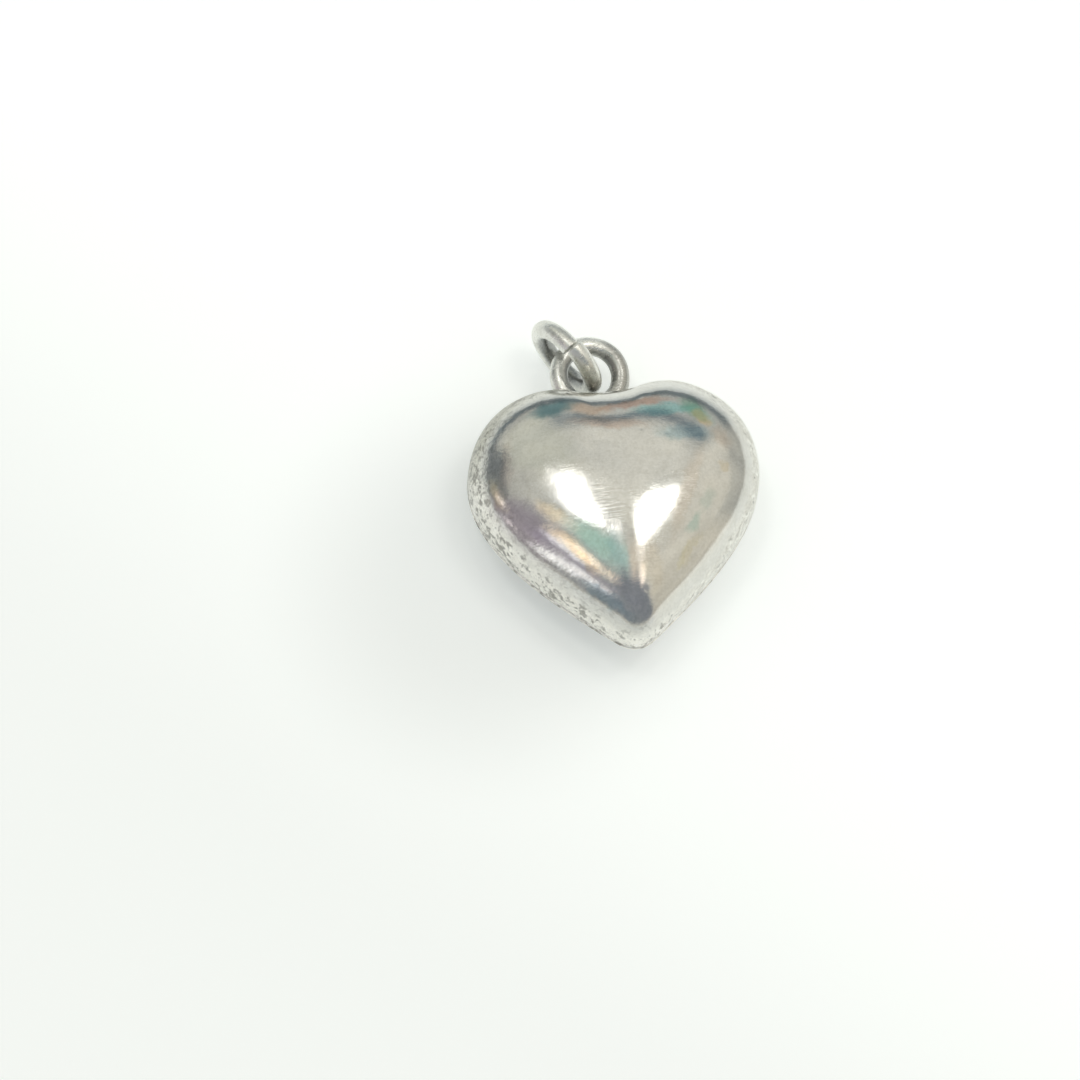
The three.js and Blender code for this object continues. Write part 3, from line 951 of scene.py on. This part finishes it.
def floor_material():
    """Glossy white table: a little light is added for the camera and in mirror images, so that it
    shows as white."""
    material, nodes, shader = new_material("white_table", metallic=0.0)
    path = nodes.add("ShaderNodeLightPath")
    shown = nodes.math("MAXIMUM", path.outputs["Is Camera Ray"], path.outputs["Is Glossy Ray"])
    x, y, _ = nodes.split(nodes.millimetres(Matrix()))
    corner = nodes.times(nodes.between(nodes.plus(x, y), *CORNER_REACH), CORNER_SHADE)
    away = nodes.distance(nodes.minus(x, SHADE_CENTRE[0]), nodes.minus(y, SHADE_CENTRE[1]))
    near = nodes.times(nodes.between(away, *SHADE_RADII), SHADE_STRENGTH)
    lit = nodes.minus(nodes.minus(1.0, corner), near)
    nodes.put_all(shader, {
        "Base Color": FLOOR_COLOUR,
        "Roughness": FLOOR_ROUGHNESS,
        "IOR": FLOOR_IOR,
        "Emission Color": FLOOR_GLOW,
        "Emission Strength": nodes.times(nodes.times(shown, lit), FLOOR_LIFT),
    })
    return material


def add_floor():
    """The table top, a plain square."""
    mesh = bpy.data.meshes.new("table_top")
    half = FLOOR_METRES / 2
    corners = [(-half, -half, 0), (half, -half, 0), (half, half, 0), (-half, half, 0)]
    mesh.from_pydata(corners, [], [(0, 1, 2, 3)])
    mesh.materials.append(floor_material())
    link_object("table_top", mesh)


def add_lights():
    """The two soft windows, each facing the pendant."""
    for name, (bearing, elevation, width, tall, turn, radiance, colour) in SOFT_LIGHTS.items():
        facing, raised = radians(bearing), radians(elevation)
        way = Vector((sin(facing) * cos(raised), cos(facing) * cos(raised), sin(raised)))
        data = bpy.data.lights.new(name, "AREA")
        data.shape = "RECTANGLE"
        data.size = width
        data.size_y = tall
        data.energy = radiance * AREA_LIGHT_WATTS * width * tall
        data.color = colour
        across = (Vector((1, 0, 0)) - way * way.x).normalized()
        axes = Matrix((across, way.cross(across), way)).transposed().to_4x4()
        link_object(name, data).matrix_world = (Matrix.Translation(way * LIGHT_METRES) @ axes
                                                @ Matrix.Rotation(radians(turn), 4, "Z"))


# The room round the table, seen from the pendant. Over its plain colour lie softly bounded areas, each
# over the last: bearings from +y and elevations between which it lies, softness of its edges, colour
ROOM_COLOUR = (0.62, 0.62, 0.585)
SURROUNDINGS = [
    ((-30, 62), (46, 95), (16, 10), (0.84, 0.83, 0.77)),
    ((-52, -12), (20, 64), (14, 12), (0.70, 0.71, 0.64)),
    ((-70, -30), (59, 82), (16, 8), (1.00, 1.00, 0.96)),
    ((-14, 54), (6, 42), (8, 6), (0.56, 0.58, 0.56)),
    ((-12, 52), (32, 40), (14, 4), (0.23, 0.28, 0.31)),
    ((-74, 56), (-6, 11), (14, 5), (0.20, 0.235, 0.255)),
    ((52, 128), (-6, 26), (12, 8), (0.58, 0.58, 0.54)),
    ((52, 128), (24, 62), (12, 8), (0.80, 0.78, 0.71)),
    ((102, 128), (-6, 40), (8, 10), (0.76, 0.73, 0.65)),
    ((-122, -84), (-6, 62), (8, 10), (0.42, 0.40, 0.43)),
    ((-84, -46), (-6, 34), (9, 8), (0.24, 0.26, 0.27)),
    ((-84, -70), (6, 24), (6, 8), (0.42, 0.43, 0.39)),
    ((-150, -88), (60, 88), (20, 8), (0.62, 0.78, 0.72)),
    ((84, 180), (70, 88), (20, 8), (0.82, 0.74, 0.64)),
    ((128, 236), (6, 72), (8, 7), (0.31, 0.34, 0.37)),
    ((-128, -106), (24, 42), (5, 4), (0.46, 0.43, 0.50)),
    ((-119, -109), (41, 46), (3, 2), (1.60, 1.60, 1.75)),
    ((-122, -108), (47, 57), (4, 3), (1.90, 1.62, 1.28)),
    ((-119, -115), (9, 17), (2, 3), (1.55, 1.55, 1.62)),
    ((-123, -117), (16, 27), (2, 3), (1.70, 1.70, 1.75)),
    ((-127, -121), (26, 36), (2, 3), (1.50, 1.48, 1.50)),
    ((-99, -83), (54, 66), (6, 6), (1.15, 1.06, 0.92)),
    ((-93, -81), (12, 25), (5, 5), (0.50, 0.45, 0.40)),
    ((-90, -85), (16, 21), (3, 3), (2.20, 2.10, 2.00)),
    ((-104, -99), (8, 12), (3, 3), (1.80, 1.70, 1.70)),
    ((82, 132), (64, 76), (12, 6), (0.90, 0.84, 0.76)),
    ((112, 138), (58, 71), (6, 5), (1.75, 1.57, 1.36)),
]
HALF_TURN = 180
FULL_TURN = 360.0

# Uneven light of the room: its pattern, where that starts and is whole, and its two tints
ROOM_PATTERN = (5.0, 5.0, 0.65)
ROOM_EDGES = (0.30, 0.70)
ROOM_DIM = (0.84, 0.85, 0.86)
ROOM_LIGHT = (1.12, 1.11, 1.09)
BACKDROP_COLOUR = (0.985, 1, 0.992)


def inside_edges(nodes, value, limits, softness):
    """1 between two limits and 0 outside them, with soft edges."""
    first, last = limits
    half = softness / 2
    return nodes.times(nodes.between(value, first - half, first + half),
                       nodes.between(value, last + half, last - half))


def add_world():
    """The plain room round the table, as its soft bright and dark areas. The camera sees it as white."""
    world = bpy.data.worlds.new("room")
    bpy.context.scene.world = world
    world.use_nodes = True
    nodes = Nodes(world.node_tree)
    way = nodes.add("ShaderNodeTexCoord").outputs["Generated"]
    x, y, z = nodes.split(way)
    bearing = nodes.math("DEGREES", nodes.math("ARCTAN2", x, y))
    elevation = nodes.math("DEGREES", nodes.math("ARCSINE", z))
    all_round = nodes.plus(bearing, nodes.times(nodes.math("LESS_THAN", bearing, 0.0), FULL_TURN))
    colour = ROOM_COLOUR
    for bearings, elevations, (soft_bearing, soft_elevation), shade in SURROUNDINGS:
        turned = all_round if bearings[1] > HALF_TURN else bearing
        share = nodes.times(inside_edges(nodes, turned, bearings, soft_bearing),
                            inside_edges(nodes, elevation, elevations, soft_elevation))
        colour = nodes.mix(share, colour, shade)
    mottle = nodes.between(nodes.noise(way, *ROOM_PATTERN), *ROOM_EDGES)
    colour = nodes.mix(mottle, nodes.tint(colour, ROOM_DIM), nodes.tint(colour, ROOM_LIGHT))
    path = nodes.add("ShaderNodeLightPath")
    colour = nodes.mix(path.outputs["Is Camera Ray"], colour, BACKDROP_COLOUR)
    nodes.put_all(world.node_tree.nodes["Background"], {"Color": colour, "Strength": 1.0})


def add_camera():
    """The photograph's camera, aimed so that the heart's origin falls on its pixel."""
    raised, facing, roll = radians(VIEW_ELEVATION), radians(VIEW_AZIMUTH), radians(VIEW_ROLL)
    back = Vector((-sin(facing) * cos(raised), -cos(facing) * cos(raised), sin(raised)))
    level = Vector((0, 0, 1)).cross(back).normalized()
    upright = back.cross(level)
    right = level * cos(roll) - upright * sin(roll)
    up = level * sin(roll) + upright * cos(roll)
    middle = PHOTO_PIXELS / 2
    aim = (heart_origin - right * (ORIGIN_PIXEL_X - middle) / PIXELS_PER_MM * MM
           - up * (middle - ORIGIN_PIXEL_Y) / PIXELS_PER_MM * MM)
    data = bpy.data.cameras.new("photo_camera")
    data.sensor_width = SENSOR_WIDTH
    data.lens = SENSOR_WIDTH * CAMERA_METRES / (PHOTO_PIXELS / PIXELS_PER_MM * MM)
    data.clip_start = CLIP_START_METRES
    camera = link_object("photo_camera", data)
    turn = Matrix((right, up, back)).transposed().to_4x4()
    camera.matrix_world = Matrix.Translation(aim + back * CAMERA_METRES) @ turn
    bpy.context.scene.camera = camera


# The front carries painted reflections among its tarnish, and both shells carry painted shade on the rim's
# upper left
front_silver = shell_material("front_silver_tarnish_and_painted_light", 1.0, FRONT_TARNISH_AND_REFLECTIONS, side=1)
back_silver = shell_material("back_silver_tarnish_and_painted_shade", 5.0, [], side=-1)
wire_silver = wire_material("drawn_wire_silver", heart_frame, eyelet_place.translation / MM, eyelet_radius,
                            soldered=True)
ring_silver = wire_material("jump_ring_silver", ring_frame, Vector((0, 0, 0)), ring_radius, soldered=False)
seam_silver = solder_material("seam_solder", *SEAM_SOLDER_LOOK)
foot_silver = solder_material("eyelet_solder", *FOOT_SOLDER_LOOK)

front_mesh = shell_mesh("front_shell_skin", FRONT_DOME, 1, FRONT_SEED, FRONT_DINGS)
back_mesh = shell_mesh("back_shell_skin", BACK_DOME, -1, BACK_SEED, [])
add_piece("front_shell_skin", front_mesh, "heart", "front_shell", front_silver)
cut_vent(add_piece("back_shell_skin", back_mesh, "heart", "back_shell", back_silver))
add_piece("seam_solder_bead", seam_mesh(), "heart", "seam_solder", seam_silver)
add_piece("eyelet_wire", eyelet_mesh(), "heart", "eyelet", wire_silver)
add_piece("eyelet_solder_fillet", eyelet_solder_mesh(), "heart", "eyelet_solder",
          foot_silver)
add_piece("jump_ring_wire", jump_ring_mesh(), "ring", "jump_ring", ring_silver)

add_floor()
add_lights()
add_world()
add_camera()
bpy.context.scene.view_settings.view_transform = "Standard"
